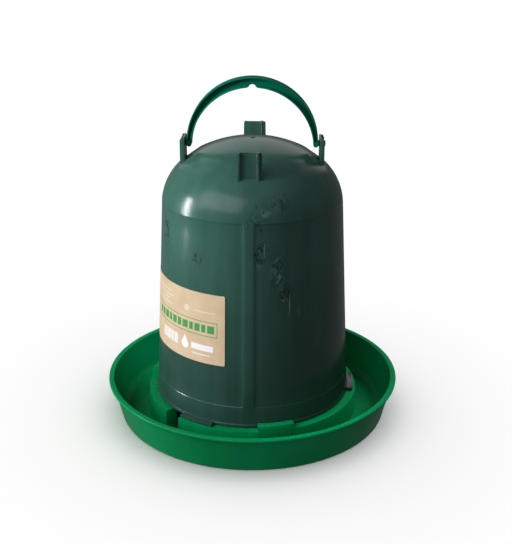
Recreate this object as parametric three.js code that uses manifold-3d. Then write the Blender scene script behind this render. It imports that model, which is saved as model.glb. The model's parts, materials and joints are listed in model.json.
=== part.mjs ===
// Poultry waterer. An inverted bell tank locks into a round trough tray with three bayonet lugs,
// and a carrying handle swings on two pins at the top of the tank.
// Units are millimetres and +Z is up. The origin is under the middle of the tray, on the surface
// that it stands on. Azimuth 0 is the front (-Y), and azimuths grow towards +X.

import * as THREE from 'three';
import { mergeVertices } from 'three/addons/utils/BufferGeometryUtils.js';
import Module from 'manifold-3d';

const wasm = await Module();
wasm.setup();

// ---------------------------------------------------------------- driving dimensions

const CLEARANCE = 0.3;                 // gap between two pieces that touch

const TRAY = {
  rimRadius: 150,
  rimHeight: 39.4,
  lipThickness: 2.6,
  lipInnerRadius: 144.3,
  wallTopRadius: 146.4,                // outside of the wall, just under the lip
  baseRadius: 137.6,                   // outside of the wall, at the underside
  wall: 2.2,
  floor: 2.4,
  insideFillet: 9,
  outsideFillet: 3.5,
  segments: 72,
};

const COLLAR = {                       // the ring in the tray that the tank stands on
  innerRadius: 96.2,
  outerRadius: 108.3,
  ledgeHeight: 24.3,
  wall: 2,
  draft: 0.8,                          // how much wider each wall's foot is than its top
};

const OUTLET = { azimuth: -45.5, width: 10.1, endWall: 1.4 };   // water gate through the collar

const HOOK = {                         // three bayonet hooks on the collar
  firstAzimuth: 14.5,
  width: 19.2,
  innerRadius: 101.2,
  top: 30,
  slotHeight: 3.5,
  slotRadius: 106.7,
  stop: 1.6,                           // degrees of solid hook behind the slot
};

const LUG = { firstAzimuth: -30, width: 20.5, radius: 106.2, height: 2.8 };

const BAYONET_COUNT = 3;

const TANK = {
  bottomRadius: 100.4,
  lipHeight: 2.4,
  lipProud: 0.8,
  skirtHeight: 44.9,                   // height of the skirt's top edge
  skirtTopRadius: 98.3,
  shoulderHeight: 224.2,
  shoulderStartRadius: 89.4,
  shoulderArc: 54.3,
  shoulderEnd: 47.7,                   // degrees that the shoulder has turned where the cone starts
  coneTopRadius: 54.4,
  capRadius: 120,
  apexHeight: 287.2,
  wall: 2.2,
};

const PANEL = {                        // four shallow panels between upright strips
  recess: 0.6,
  stripWidth: 6.6,                     // degrees
  step: 0.5,                           // degrees taken by the sloped side of a strip
  top: 221,
  bottom: 45.3,
  arcSegments: 14,
};

const FOOT = {                         // four channel feet, on which the tank also stands when filled
  top: 288.6,
  frontRadius: 66.9,                   // inner face of the front and back feet
  sideRadius: 64.9,                    // inner face of the side feet, which carry the handle
  plate: 1.6,
  frontDepth: 3.9,
  sideDepth: 4.7,
  halfWidth: 11.1,
  rib: 2.2,
  ribInset: 2.5,
  cornerRadius: 2,
  sideChamfer: 3.2,
  root: 244,                           // the foot starts inside the dome, where the cavity trims it
};

const GUSSET = { length: 3.6, height: 4.5, thickness: 2, bottom: 262 };

const PIVOT = { height: 281.8, pinRadius: 2.3, holeRadius: 2.6, headRadius: 2.85, headStart: 66.9, end: 70.6 };

const HANDLE = {                       // a crescent between two arcs, cut back to an I section
  outerArc: 63.6,
  outerCentre: 0.2,                    // above the pivot
  innerArc: 59,
  innerCentre: -5,
  width: 11,
  flange: 1.3,
  web: 2.6,
  pocketEnd: 1.5,                      // how far above the ends the I section stops
  endDrop: 0.7,                        // the ends' round tips are centred this far below the pivot
  bossRadius: 2.9,
  notchRadius: 3.6,
  notchCentre: 53,
  notchShoulder: 6.2,
};

const LABEL = {
  bottom: 86.4,
  top: 156.8,
  rightAzimuth: -13.8,
  width: 71.6,                         // degrees, inside one panel
  thickness: 0.25,
};

// ---------------------------------------------------------------- materials

function plastic(color, roughness) {
  return new THREE.MeshStandardMaterial({ color, roughness, metalness: 0 });
}

const darkGreenPlastic = plastic(0x2c443c, 0.38);
const brightGreenPlastic = plastic(0x0f8a57, 0.32);
const handleGreenPlastic = plastic(0x0b7350, 0.34);
const kraftPaper = plastic(0xc9ab84, 0.8);

// ---------------------------------------------------------------- geometry helpers

const radians = THREE.MathUtils.degToRad;

// Azimuth in degrees to an angle in the XY plane.
function planAngle(azimuth) {
  return radians(azimuth - 90);
}

function toSolid(geometry) {
  const bare = geometry.clone();
  bare.deleteAttribute('normal');
  bare.deleteAttribute('uv');
  const merged = mergeVertices(bare, 1e-4);
  return new wasm.Manifold(new wasm.Mesh({
    numProp: 3,
    vertProperties: new Float32Array(merged.attributes.position.array),
    triVerts: new Uint32Array(merged.index.array),
  }));
}

function toGeometry(solid) {
  const mesh = solid.getMesh();
  const geometry = new THREE.BufferGeometry();
  geometry.setAttribute('position', new THREE.BufferAttribute(mesh.vertProperties, 3));
  geometry.setIndex(new THREE.BufferAttribute(mesh.triVerts, 1));
  geometry.computeVertexNormals();
  return geometry;
}

// Points of an arc in a profile, with its centre, radius and two angles in degrees.
function arc(centreX, centreY, radius, from, to, steps) {
  const points = [];
  for (let i = 0; i <= steps; i += 1) {
    const angle = radians(from + (to - from) * i / steps);
    points.push([centreX + radius * Math.cos(angle), centreY + radius * Math.sin(angle)]);
  }
  return points;
}

// A profile of [radius, height] turned about the Z axis.
function turned(profile, segments) {
  const points = profile.map(([r, z]) => new THREE.Vector2(r, z));
  const geometry = new THREE.LatheGeometry(points, segments);
  geometry.rotateX(Math.PI / 2);
  return geometry;
}

// The same, closed into a ring that doesn't reach the axis.
function turnedRing(profile, segments) {
  return turned([...profile, profile[0]], segments);
}

function extruded(shape, depth, curveSegments = 8) {
  return new THREE.ExtrudeGeometry(shape, { depth, bevelEnabled: false, curveSegments });
}

// A block of a ring: a plan sector between two radii, two heights and two azimuths.
function sector(innerRadius, outerRadius, bottom, top, fromAzimuth, toAzimuth, steps = 6) {
  const from = planAngle(fromAzimuth);
  const to = planAngle(toAzimuth);
  const shape = new THREE.Shape();
  shape.absarc(0, 0, outerRadius, from, to, false);
  shape.absarc(0, 0, innerRadius, to, from, true);
  shape.closePath();
  const geometry = extruded(shape, top - bottom, steps);
  geometry.translate(0, 0, bottom);
  return toSolid(geometry);
}

function box(x0, x1, y0, y1, z0, z1) {
  const geometry = new THREE.BoxGeometry(x1 - x0, y1 - y0, z1 - z0);
  geometry.translate((x0 + x1) / 2, (y0 + y1) / 2, (z0 + z1) / 2);
  return toSolid(geometry);
}

// A round bar along X.
function barAlongX(radius, x0, x1, z, segments = 20) {
  const geometry = new THREE.CylinderGeometry(radius, radius, x1 - x0, segments);
  geometry.rotateZ(Math.PI / 2);
  geometry.translate((x0 + x1) / 2, 0, z);
  return toSolid(geometry);
}

function union(solids) {
  return solids.reduce((whole, next) => whole.add(next));
}

// ---------------------------------------------------------------- tray

function trayPan() {
  const { baseRadius, wallTopRadius, rimRadius, rimHeight, lipThickness, wall, floor } = TRAY;
  const lipBottom = rimHeight - lipThickness;
  const slope = (wallTopRadius - baseRadius) / lipBottom;
  const lean = THREE.MathUtils.radToDeg(Math.atan(slope));
  const outside = TRAY.outsideFillet;
  const inside = TRAY.insideFillet;
  const innerWall = (z) => baseRadius - wall + slope * z;
  const filletHeight = floor + inside;
  return toSolid(turned([
    [0, 0],
    ...arc(baseRadius - outside, outside, outside, -90, -lean, 3),
    [wallTopRadius, lipBottom],
    [rimRadius, lipBottom],
    [rimRadius, rimHeight],
    [TRAY.lipInnerRadius, rimHeight],
    ...arc(innerWall(filletHeight) - inside, filletHeight, inside, -lean, -90, 4),
    [0, floor],
  ], TRAY.segments));
}

function collarRidge() {
  const { innerRadius, outerRadius, ledgeHeight, draft } = COLLAR;
  const foot = TRAY.floor / 2;
  return toSolid(turnedRing([
    [innerRadius - draft, foot],
    [outerRadius + draft, foot],
    [outerRadius, ledgeHeight],
    [innerRadius, ledgeHeight],
  ], TRAY.segments));
}

// The collar is hollow from below, like any ridge in a moulding, but closed beside the outlet.
function collarUnderside() {
  const { innerRadius, outerRadius, ledgeHeight, wall } = COLLAR;
  const margin = OUTLET.width / 2 + OUTLET.endWall;
  const from = OUTLET.azimuth + margin;
  const to = OUTLET.azimuth + 360 - margin;
  return sector(innerRadius + wall, outerRadius - wall, -1, ledgeHeight - wall, from, to, 68);
}

function outletGate() {
  const { innerRadius, outerRadius, ledgeHeight, draft } = COLLAR;
  const half = OUTLET.width / 2;
  const beyond = 2 * draft;
  return sector(innerRadius - beyond, outerRadius + beyond, TRAY.floor, ledgeHeight + 1,
    OUTLET.azimuth - half, OUTLET.azimuth + half, 3);
}

function hook(azimuth) {
  const half = HOOK.width / 2;
  const ledge = COLLAR.ledgeHeight;
  const block = sector(HOOK.innerRadius, COLLAR.outerRadius, ledge - 1, HOOK.top,
    azimuth - half, azimuth + half, 4);
  const slot = sector(HOOK.innerRadius - 1, HOOK.slotRadius, ledge, ledge + HOOK.slotHeight,
    azimuth - half - 1, azimuth + half - HOOK.stop, 4);
  return block.subtract(slot);
}

function bayonetAzimuths(first) {
  return Array.from({ length: BAYONET_COUNT }, (_, i) => first + i * 360 / BAYONET_COUNT);
}

function tray() {
  const collar = collarRidge().subtract(outletGate());
  const hooks = bayonetAzimuths(HOOK.firstAzimuth).map(hook);
  const solid = union([trayPan(), collar, ...hooks]).subtract(collarUnderside());
  return new THREE.Mesh(toGeometry(solid), brightGreenPlastic);
}

// ---------------------------------------------------------------- tank

const tankBottom = COLLAR.ledgeHeight + CLEARANCE;

// Outside radius of the tank's straight side, before its panels are recessed.
function sideRadius(z) {
  const { skirtTopRadius, skirtHeight, shoulderStartRadius, shoulderHeight } = TANK;
  const t = (z - skirtHeight) / (shoulderHeight - skirtHeight);
  return THREE.MathUtils.lerp(skirtTopRadius, shoulderStartRadius, t);
}

// The shoulder, cone and cap of the tank, from the top of the side to the axis, moved in by inset.
function domeProfile(inset) {
  const { shoulderArc, shoulderStartRadius, shoulderHeight, shoulderEnd } = TANK;
  const taper = THREE.MathUtils.radToDeg(
    Math.atan((TANK.skirtTopRadius - shoulderStartRadius) / (shoulderHeight - TANK.skirtHeight)),
  );
  const centreX = shoulderStartRadius - shoulderArc * Math.cos(radians(taper));
  const centreZ = shoulderHeight - shoulderArc * Math.sin(radians(taper));
  const capCentre = TANK.apexHeight - TANK.capRadius;
  const capEdge = THREE.MathUtils.radToDeg(Math.acos(TANK.coneTopRadius / TANK.capRadius));
  const cap = arc(0, capCentre, TANK.capRadius - inset, capEdge, 90, 8);
  cap[cap.length - 1][0] = 0;
  return [...arc(centreX, centreZ, shoulderArc - inset, taper, shoulderEnd, 8), ...cap];
}

// Azimuths of the tank's mesh columns: each upright strip, its sloped sides and the panel arcs.
function panelColumns() {
  const half = PANEL.stripWidth / 2;
  const columns = [];
  for (let quarter = 0; quarter < 4; quarter += 1) {
    const middle = quarter * 90;
    const panelStart = half + PANEL.step;
    const panelArc = 90 - 2 * panelStart;
    columns.push({ azimuth: middle - half, recessed: false });
    columns.push({ azimuth: middle + half, recessed: false });
    for (let i = 0; i <= PANEL.arcSegments; i += 1) {
      const azimuth = middle + panelStart + panelArc * i / PANEL.arcSegments;
      columns.push({ azimuth, recessed: true });
    }
  }
  return columns;
}

// The tank's outside as one solid, with the panels pressed in between the strips.
function tankOutside() {
  const { bottomRadius, lipHeight, lipProud, skirtHeight, skirtTopRadius } = TANK;
  const profile = [
    [0, tankBottom],
    [bottomRadius, tankBottom],
    [bottomRadius, tankBottom + lipHeight],
    [bottomRadius - lipProud, tankBottom + lipHeight + lipProud],
    [skirtTopRadius, skirtHeight],
    [sideRadius(PANEL.bottom + 1), PANEL.bottom + 1],
    [sideRadius(PANEL.top), PANEL.top],
    ...domeProfile(0),
  ];
  const panelRows = [5, 6];            // the two rows of the profile that lie in the panels
  const columns = panelColumns();
  const geometry = turned(profile, columns.length);
  const position = geometry.attributes.position;
  for (let k = 0; k < position.count; k += 1) {
    const column = columns[Math.floor(k / profile.length) % columns.length];
    const row = k % profile.length;
    const recess = column.recessed && panelRows.includes(row) ? PANEL.recess : 0;
    const radius = Math.max(profile[row][0] - recess, 0);
    const angle = planAngle(column.azimuth);
    position.setXYZ(k, radius * Math.cos(angle), radius * Math.sin(angle), profile[row][1]);
  }
  return geometry;
}

function tankCavity() {
  const { bottomRadius, skirtTopRadius, skirtHeight, wall } = TANK;
  return toSolid(turned([
    [0, tankBottom - 5],
    [bottomRadius - wall - 1, tankBottom - 5],
    [bottomRadius - wall - 1, tankBottom],
    [skirtTopRadius - wall - PANEL.recess, skirtHeight],
    ...domeProfile(wall),
  ], 64));
}

// A foot that stands at the front. Its plate faces the axis and its two ribs point outwards.
function frontFoot(innerRadius, depth, chamfered) {
  const { halfWidth, plate, rib, ribInset, cornerRadius, top, root } = FOOT;
  const corner = cornerRadius;
  const outline = new THREE.Shape();
  outline.moveTo(-halfWidth, root);
  outline.lineTo(halfWidth, root);
  outline.lineTo(halfWidth, top - corner);
  outline.absarc(halfWidth - corner, top - corner, corner, 0, Math.PI / 2, false);
  outline.lineTo(corner - halfWidth, top);
  outline.absarc(corner - halfWidth, top - corner, corner, Math.PI / 2, Math.PI, false);
  outline.closePath();
  const slab = extruded(outline, depth, 3);
  slab.rotateX(Math.PI / 2);
  slab.translate(0, -innerRadius, 0);
  const front = -innerRadius - depth;
  const plateFront = -innerRadius - plate;
  const ribLeft = -halfWidth + rib;
  const ribRight = halfWidth - ribInset - rib;
  const channel = box(ribLeft, ribRight, front - 1, plateFront, root - 1, top + 1);
  const besideRib = box(ribRight + rib, halfWidth + 1, front - 1, plateFront, root - 1, top + 1);
  const cuts = [channel, besideRib];
  if (chamfered) {
    cuts.push(ribChamfer(front));
  }
  return toSolid(slab).subtract(union(cuts)).add(gusset(innerRadius));
}

// Cuts the outer top edge of the ribs on the two feet that carry the handle.
function ribChamfer(front) {
  const { halfWidth, top, sideChamfer } = FOOT;
  const reach = halfWidth + 1;
  const shape = new THREE.Shape();
  shape.moveTo(front - 1, top + 1);
  shape.lineTo(front + sideChamfer * 0.45, top + 1);
  shape.lineTo(front + sideChamfer * 0.45, top);
  shape.lineTo(front - 0.01, top - sideChamfer);
  shape.lineTo(front - 1, top - sideChamfer);
  shape.closePath();
  const geometry = extruded(shape, 2 * reach);
  geometry.applyMatrix4(new THREE.Matrix4().makeBasis(
    new THREE.Vector3(0, 1, 0),
    new THREE.Vector3(0, 0, 1),
    new THREE.Vector3(1, 0, 0),
  ));
  geometry.translate(-reach, 0, 0);
  return toSolid(geometry);
}

// A small triangular web between the back of a foot and the dome.
function gusset(footRadius) {
  const { length, height, thickness, bottom } = GUSSET;
  const wallFace = -footRadius - 0.5;
  const top = bottom + 4 + height;
  const shape = new THREE.Shape();
  shape.moveTo(wallFace, bottom);
  shape.lineTo(-footRadius + length + 2, bottom);
  shape.lineTo(wallFace, top);
  shape.closePath();
  const geometry = extruded(shape, thickness);
  geometry.applyMatrix4(new THREE.Matrix4().makeBasis(
    new THREE.Vector3(0, 1, 0),
    new THREE.Vector3(0, 0, 1),
    new THREE.Vector3(1, 0, 0),
  ));
  geometry.translate(-thickness / 2, 0, 0);
  return toSolid(geometry);
}

function feet() {
  const front = frontFoot(FOOT.frontRadius, FOOT.frontDepth, false);
  const side = frontFoot(FOOT.sideRadius, FOOT.sideDepth, true);
  return [
    front,
    side.rotate([0, 0, 90]),
    front.mirror([0, 1, 0]),
    side.rotate([0, 0, 90]).mirror([1, 0, 0]),
  ];
}

function bayonetLug(azimuth) {
  const half = LUG.width / 2;
  return sector(TANK.bottomRadius - TANK.wall, LUG.radius, tankBottom, tankBottom + LUG.height,
    azimuth - half, azimuth + half, 4);
}

function tank() {
  const lugs = bayonetAzimuths(LUG.firstAzimuth).map(bayonetLug);
  const holeStart = FOOT.sideRadius - GUSSET.length;
  const pinHole = barAlongX(PIVOT.holeRadius, holeStart, PIVOT.end, PIVOT.height);
  const solid = union([toSolid(tankOutside()), ...feet(), ...lugs])
    .subtract(tankCavity())
    .subtract(pinHole)
    .subtract(pinHole.mirror([1, 0, 0]));
  return new THREE.Mesh(toGeometry(solid), darkGreenPlastic);
}

// ---------------------------------------------------------------- label

// A paper label stuck on the left front panel, standing clear of it by the usual gap.
function label() {
  const inner = (z) => sideRadius(z) - PANEL.recess + CLEARANCE;
  const { bottom, top, thickness, rightAzimuth, width } = LABEL;
  const sleeve = toSolid(turnedRing([
    [inner(bottom), bottom],
    [inner(bottom) + thickness, bottom],
    [inner(top) + thickness, top],
    [inner(top), top],
  ], 96));
  const patch = sector(50, 120, bottom - 1, top + 1, rightAzimuth - width, rightAzimuth, 12);
  return new THREE.Mesh(toGeometry(sleeve.intersect(patch)), kraftPaper);
}

// ---------------------------------------------------------------- handle

// Half of the angle, in degrees, that an arc of the handle spans above the height of its ends.
function handleArcEnd(radius, centre) {
  return THREE.MathUtils.radToDeg(Math.asin((-HANDLE.endDrop - centre) / radius));
}

// The handle's crescent, made thinner on both edges by inset.
function crescent(inset, dropped) {
  const outer = HANDLE.outerArc - inset;
  const inner = HANDLE.innerArc + inset;
  const outerEnd = handleArcEnd(outer, HANDLE.outerCentre - dropped);
  const innerEnd = handleArcEnd(inner, HANDLE.innerCentre - dropped);
  const shape = new THREE.Shape();
  shape.absarc(0, HANDLE.outerCentre, outer, radians(outerEnd), Math.PI - radians(outerEnd), false);
  shape.absarc(0, HANDLE.innerCentre, inner, Math.PI - radians(innerEnd), radians(innerEnd), true);
  shape.closePath();
  return shape;
}

// A shape drawn in the XZ plane, given its depth along Y between two values.
function alongY(shape, y0, y1, curveSegments) {
  const geometry = extruded(shape, y1 - y0, curveSegments);
  geometry.rotateX(Math.PI / 2);
  geometry.translate(0, y1, 0);
  return toSolid(geometry);
}

function hookNotch() {
  const { notchRadius, notchCentre, notchShoulder, width } = HANDLE;
  const shape = new THREE.Shape();
  shape.moveTo(-notchShoulder, notchCentre - 4);
  shape.lineTo(notchShoulder, notchCentre - 4);
  shape.lineTo(notchShoulder, notchCentre);
  shape.absarc(0, notchCentre, notchRadius, radians(45), radians(135), false);
  shape.lineTo(-notchShoulder, notchCentre);
  shape.closePath();
  return alongY(shape, -width, width, 6);
}

// A rounded end of the arch, with its boss, its pin and the pin's snap head.
function handleEnd(side) {
  const tipX = (HANDLE.outerArc + HANDLE.innerArc) / 2 - 0.1;
  const tipRadius = (HANDLE.outerArc - HANDLE.innerArc) / 2 + 0.2;
  const half = HANDLE.width / 2;
  const tip = new THREE.CylinderGeometry(tipRadius, tipRadius, 2 * half, 16);
  tip.translate(tipX, 0, -HANDLE.endDrop);
  const outerFace = tipX + tipRadius;
  const solid = union([
    toSolid(tip),
    barAlongX(HANDLE.bossRadius, outerFace - 4, FOOT.sideRadius - CLEARANCE, 0, 16),
    barAlongX(PIVOT.pinRadius, outerFace - 4, PIVOT.end, 0, 16),
    barAlongX(PIVOT.headRadius, PIVOT.headStart, PIVOT.end, 0, 16),
  ]);
  return side > 0 ? solid : solid.mirror([1, 0, 0]);
}

function handle() {
  const half = HANDLE.width / 2;
  const web = HANDLE.web / 2;
  const pocket = crescent(HANDLE.flange, HANDLE.pocketEnd);
  const arch = alongY(crescent(0, 0), -half, half, 40)
    .subtract(alongY(pocket, web, half + 1, 40))
    .subtract(alongY(pocket, -half - 1, -web, 40))
    .subtract(hookNotch());
  const solid = union([arch, handleEnd(1), handleEnd(-1)]);
  const mesh = new THREE.Mesh(toGeometry(solid), handleGreenPlastic);
  mesh.position.z = PIVOT.height;
  return mesh;
}

// ---------------------------------------------------------------- assembly

function named(name, mesh) {
  mesh.name = name;
  return mesh;
}

const waterer = new THREE.Group();
waterer.name = 'poultry_waterer';
waterer.add(
  named('tray', tray()),
  named('tank', tank()),
  named('label', label()),
  named('handle', handle()),
);

export default waterer;
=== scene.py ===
"""Looks of the poultry waterer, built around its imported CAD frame.

The frame is in metres. Sizes below are in millimetres and are turned into metres where meshes are made.
Azimuth 0 is the front (-Y), and azimuths grow towards +X.
"""

import json
import math
import bmesh
import bpy
from mathutils import Matrix, Vector


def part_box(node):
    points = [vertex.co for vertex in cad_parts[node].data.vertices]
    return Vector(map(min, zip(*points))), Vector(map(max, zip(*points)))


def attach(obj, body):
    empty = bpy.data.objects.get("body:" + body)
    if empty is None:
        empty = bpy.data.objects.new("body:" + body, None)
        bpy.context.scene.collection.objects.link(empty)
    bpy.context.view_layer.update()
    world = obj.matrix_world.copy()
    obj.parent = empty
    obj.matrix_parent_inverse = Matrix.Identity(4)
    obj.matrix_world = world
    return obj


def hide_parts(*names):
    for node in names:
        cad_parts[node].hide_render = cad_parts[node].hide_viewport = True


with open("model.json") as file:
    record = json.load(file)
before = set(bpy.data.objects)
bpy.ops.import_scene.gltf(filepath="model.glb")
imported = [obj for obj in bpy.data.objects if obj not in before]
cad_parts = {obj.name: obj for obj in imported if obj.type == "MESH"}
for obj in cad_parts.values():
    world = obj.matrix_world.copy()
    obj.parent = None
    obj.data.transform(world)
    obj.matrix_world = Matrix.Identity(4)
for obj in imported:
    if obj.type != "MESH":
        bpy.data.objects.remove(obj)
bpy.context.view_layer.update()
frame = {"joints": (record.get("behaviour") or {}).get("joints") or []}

MM = 0.001

# ------------------------------------------------------------------ sizes, in millimetres

_, tray_high = (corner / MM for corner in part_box("tray"))
tank_low, tank_high = (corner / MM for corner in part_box("tank"))
_, handle_high = (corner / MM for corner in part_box("handle"))
label_low, label_high = (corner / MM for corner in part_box("label"))
joints = {joint["name"]: joint for joint in frame["joints"]}

RIM_RADIUS = tray_high.x
RIM_HEIGHT = tray_high.z
LIP_THICKNESS = 2.6
LIP_INNER_RADIUS = 144.3
WALL_TOP_RADIUS = 146.4
BASE_RADIUS = 137.6
BASE_FILLET = 3.5
TRAY_WALL = 2.2
TRAY_FLOOR = 2.4
TROUGH_FILLET = 9

COLLAR_INNER = 96.2
COLLAR_OUTER = 108.3
COLLAR_DRAFT = 0.8
COLLAR_WALL = 2
CLEARANCE = 0.3
TANK_BOTTOM = tank_low.z
LEDGE_HEIGHT = TANK_BOTTOM - CLEARANCE
OUTLET_AZIMUTH = -45.5
OUTLET_WIDTH = 10.1                     # degrees
HOOK_AZIMUTH = 14.5                     # degrees, as all azimuths
HOOK_WIDTH = 19.2                       # degrees
HOOK_INNER = 101.2
HOOK_TOP = 30
HOOK_SLOT_HEIGHT = 3.5
HOOK_SLOT_RADIUS = 106.7
HOOK_STOP = 1.6

LUG_AZIMUTH = -30
LUG_WIDTH = 20.5                        # degrees
LUG_RADIUS = 106.2
LUG_HEIGHT = 2.8

SKIRT_RADIUS = 100.4
SKIRT_HEIGHT = 44.9
SKIRT_TOP_RADIUS = 98.3
SHOULDER_HEIGHT = 224.2
SHOULDER_RADIUS = 89.4
SHOULDER_ARC = 54.3
SHOULDER_END = 47.7                     # degrees
CAP_RADIUS = 120
CAP_EDGE_RADIUS = 54.4
APEX_HEIGHT = 287.2
TANK_WALL = 2.2
SKIRT_INNER_RADIUS = SKIRT_RADIUS - TANK_WALL - 1
PANEL_RECESS = 0.45
PANEL_TOP = 227.4
PANEL_TOP_EDGE = 1.2
PANEL_BOTTOM_EDGE = 0.9
STRIP_HALF_WIDTH = 3.1                  # degrees
STRIP_EDGE = 0.5                        # degrees

FOOT_TOP = tank_high.z
FRONT_FOOT_INNER = 66.9
SIDE_FOOT_INNER = 64.9
FOOT_PLATE = 1.6
FRONT_FOOT_DEPTH = 3.9
SIDE_FOOT_DEPTH = 4.7
FOOT_HALF_WIDTH = 11.1
FOOT_RIB = 2.2
FOOT_RIB_INSET = 2.5
FOOT_CORNER = 2
FOOT_ROUNDING = 0.45
FOOT_ROOT = 252
SIDE_CHAMFER = 3.2
SIDE_CHAMFER_SLOPE = 0.45               # depth of the chamfer for each millimetre of its height
SINK_MARK = 0.35
SPRUE_RADIUS = 2.6
SPRUE_HEIGHT = 0.5
GUSSET_LENGTH = 3.6

PIVOT_HEIGHT = joints["handle_swing"]["pos_m"][2] / MM
PIN_END = handle_high.x
PIN_RADIUS = 2.3
PIN_HEAD_RADIUS = 2.85
PIN_HEAD_START = 66.9
PIN_HOLE_RADIUS = 2.6

ARCH_OUTER = 63.6
ARCH_OUTER_CENTRE = 0.2
ARCH_INNER = 59
ARCH_INNER_CENTRE = -5
ARCH_WIDTH = 11
ARCH_FLANGE = 1.3
ARCH_WEB = 2.6
ARCH_END_DROP = 0.7
ARCH_POCKET_END = 1.5
BOSS_RADIUS = 2.9
NOTCH_RADIUS = 3.6
NOTCH_CENTRE = 53
NOTCH_SHOULDER = 6.2

LABEL_RIGHT = -13.8
LABEL_WIDTH = 71.6                      # degrees
LABEL_CORNER = 1.2
LABEL_THICKNESS = 0.2


# ------------------------------------------------------------------ mesh helpers

def direction(azimuth):
    """Unit vector in plan at an azimuth in degrees."""
    angle = math.radians(azimuth)
    return Vector((math.sin(angle), -math.cos(angle), 0))


def new_object(name, verts, faces):
    mesh = bpy.data.meshes.new(name)
    mesh.from_pydata([Vector(v) * MM for v in verts], [], faces)
    mesh.validate()
    obj = bpy.data.objects.new(name, mesh)
    bpy.context.scene.collection.objects.link(obj)
    return obj


def outward(obj):
    """Turns all faces of a closed mesh to the outside."""
    mesh = bmesh.new()
    mesh.from_mesh(obj.data)
    bmesh.ops.recalc_face_normals(mesh, faces=mesh.faces)
    mesh.to_mesh(obj.data)
    mesh.free()
    return obj


def bake(obj):
    """Applies an object's modifiers to its mesh."""
    graph = bpy.context.evaluated_depsgraph_get()
    mesh = bpy.data.meshes.new_from_object(obj.evaluated_get(graph))
    obj.modifiers.clear()
    obj.data = mesh
    return obj


def boolean(target, others, operation):
    for other in others:
        modifier = target.modifiers.new("boolean", "BOOLEAN")
        modifier.operation = operation
        modifier.solver = "EXACT"
        modifier.object = other
        bake(target)
        bpy.data.objects.remove(other)
    return target


def bevel(obj, width, segments=2, angle=35):
    modifier = obj.modifiers.new("bevel", "BEVEL")
    modifier.width = width * MM
    modifier.segments = segments
    modifier.limit_method = "ANGLE"
    modifier.angle_limit = math.radians(angle)
    modifier.harden_normals = False
    modifier.miter_outer = "MITER_ARC"
    return bake(obj)


def shade(obj):
    """Smooth shading that keeps sharp edges crisp."""
    mesh = bmesh.new()
    mesh.from_mesh(obj.data)
    limit = math.radians(32)
    for face in mesh.faces:
        face.smooth = True
    for edge in mesh.edges:
        edge.smooth = not (len(edge.link_faces) == 2 and edge.calc_face_angle(0) > limit)
    mesh.to_mesh(obj.data)
    mesh.free()
    return obj


def rounded(corners, steps):
    """A polyline through corners (x, y, fillet radius), with each corner turned into an arc."""
    points = []
    for index, (x, y, radius) in enumerate(corners):
        here = Vector((x, y))
        if radius == 0 or index in (0, len(corners) - 1):
            points.append(here)
            continue
        back = (Vector(corners[index - 1][:2]) - here).normalized()
        ahead = (Vector(corners[index + 1][:2]) - here).normalized()
        half = back.angle(ahead) / 2
        reach = radius / math.tan(half)
        centre = here + (back + ahead).normalized() * radius / math.sin(half)
        first = here + back * reach - centre
        last = here + ahead * reach - centre
        turn = first.angle_signed(last)
        for step in range(steps + 1):
            points.append(centre + Matrix.Rotation(-turn * step / steps, 2) @ first)
    return points


def arc(centre_x, centre_y, radius, start, end, steps):
    """Points of an arc between two angles in degrees."""
    points = []
    for step in range(steps + 1):
        angle = math.radians(start + (end - start) * step / steps)
        points.append(Vector((centre_x + radius * math.cos(angle), centre_y + radius * math.sin(angle))))
    return points


def along(first, last, steps):
    """Points on a straight line, both ends included."""
    return [first.lerp(last, step / steps) for step in range(steps + 1)]


def even_columns(count):
    return [360 * index / count for index in range(count)]


def lathe(name, profile, columns, radius_change=None):
    """Turns a profile of (radius, height) about the Z axis.

    A profile that starts and ends on the axis gets a pole at each end; any other is closed on itself.
    radius_change(azimuth, height, row) moves a point in or out.
    """
    poles = profile[0][0] == 0
    verts = []
    rows = []
    for row, (radius, height) in enumerate(profile):
        if radius == 0:
            rows.append([len(verts)] * len(columns))
            verts.append((0, 0, height))
            continue
        start = len(verts)
        for azimuth in columns:
            change = radius_change(azimuth, height, row) if radius_change else 0
            point = direction(azimuth) * (radius + change)
            verts.append((point.x, point.y, height))
        rows.append(list(range(start, start + len(columns))))
    faces = []
    pairs = list(zip(rows, rows[1:]))
    if not poles:
        pairs.append((rows[-1], rows[0]))
    for upper, lower in pairs:
        for column in range(len(columns)):
            following = (column + 1) % len(columns)
            quad = [upper[column], lower[column], lower[following], upper[following]]
            faces.append(list(dict.fromkeys(quad)))
    return outward(new_object(name, verts, faces))


def prism(name, outline, depth, matrix):
    """A solid with a flat outline in its own XY plane and a depth along its own Z, placed by the matrix."""
    count = len(outline)
    verts = [matrix @ Vector((x, y, z)) for z in (0, depth) for x, y in outline]
    faces = [list(range(count)), list(range(2 * count - 1, count - 1, -1))]
    for index in range(count):
        following = (index + 1) % count
        faces.append([index, following, following + count, index + count])
    return outward(new_object(name, verts, faces))


def sector(name, inner, outer, bottom, top, start, end, steps=24):
    """A block of a ring between two radii, two heights and two azimuths."""
    azimuths = [start + (end - start) * step / steps for step in range(steps + 1)]
    outline = [direction(azimuth) * outer for azimuth in azimuths]
    outline += [direction(azimuth) * inner for azimuth in reversed(azimuths)]
    lift = Matrix.Translation((0, 0, bottom))
    return prism(name, [(p.x, p.y) for p in outline], top - bottom, lift)


def bar_along_x(name, radius, start, end, height, sides=40):
    circle = arc(0, 0, radius, 0, 360 - 360 / sides, sides - 1)
    turn = Matrix.Translation((start, 0, height)) @ Matrix.Rotation(math.radians(90), 4, "Y")
    return prism(name, circle, end - start, turn)


def upright_matrix():
    """Puts a shape's own X and Y in the XZ plane, with its depth along +Y."""
    return Matrix(((1, 0, 0, 0), (0, 0, 1, 0), (0, 1, 0, 0), (0, 0, 0, 1)))


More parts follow.
